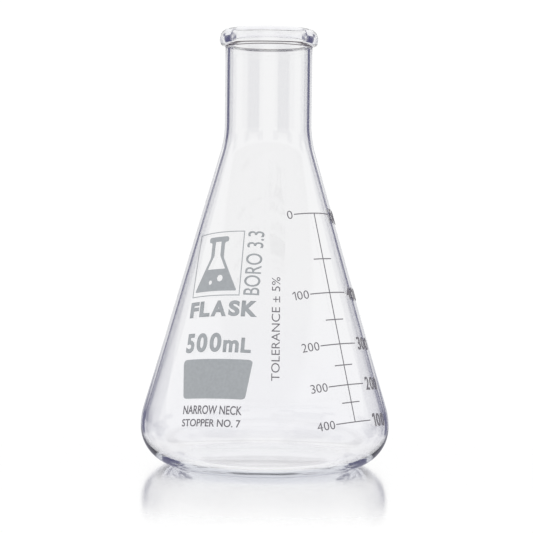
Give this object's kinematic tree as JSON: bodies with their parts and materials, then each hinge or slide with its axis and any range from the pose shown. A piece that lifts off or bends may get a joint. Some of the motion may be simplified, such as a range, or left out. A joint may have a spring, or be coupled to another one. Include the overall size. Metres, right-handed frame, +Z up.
{
  "type": "erlenmeyer flask",
  "caption": "Conical laboratory flask of clear glass with a flat base, a cylindrical beaded neck and a printed graduated scale, label and marking field.",
  "frame": {"origin": "centre of the foot, on the surface that the flask stands on", "axes": "+Z up along the flask's axis, the printed label on the -Y side, the scale towards +X"},
  "size_m": [0.103, 0.103, 0.18],
  "materials": {
    "glass": "clear, smooth and glossy",
    "pale_enamel": "satin fired enamel, light grey",
    "dark_enamel": "satin fired enamel, dark grey"
  },
  "bodies": {
    "root": {"flask": "glass", "graduation_scale": "dark_enamel", "left_0_digit_1": "dark_enamel", "right_500_digit_1": "dark_enamel", "right_500_digit_2": "dark_enamel", "right_500_digit_3": "dark_enamel", "left_100_digit_1": "dark_enamel", "left_100_digit_2": "dark_enamel", "left_100_digit_3": "dark_enamel", "right_400_digit_1": "dark_enamel", "right_400_digit_2": "dark_enamel", "right_400_digit_3": "dark_enamel", "left_200_digit_1": "dark_enamel", "left_200_digit_2": "dark_enamel", "left_200_digit_3": "dark_enamel", "right_300_digit_1": "dark_enamel", "right_300_digit_2": "dark_enamel", "right_300_digit_3": "dark_enamel", "left_300_digit_1": "dark_enamel", "left_300_digit_2": "dark_enamel", "left_300_digit_3": "dark_enamel", "right_200_digit_1": "dark_enamel", "right_200_digit_2": "dark_enamel", "right_200_digit_3": "dark_enamel", "left_400_digit_1": "dark_enamel", "left_400_digit_2": "dark_enamel", "left_400_digit_3": "dark_enamel", "right_100_digit_1": "dark_enamel", "right_100_digit_2": "dark_enamel", "right_100_digit_3": "dark_enamel", "label_frame": "pale_enamel", "label_pictogram": "pale_enamel", "label_word_1_F": "pale_enamel", "label_word_2_L": "pale_enamel", "label_word_3_A": "pale_enamel", "label_word_4_S": "pale_enamel", "label_word_5_K": "pale_enamel", "label_volume_1_5": "pale_enamel", "label_volume_2_0": "pale_enamel", "label_volume_3_0": "pale_enamel", "label_volume_4_m": "pale_enamel", "label_volume_5_L": "pale_enamel", "marking_field": "pale_enamel"}
  },
  "joints": []
}
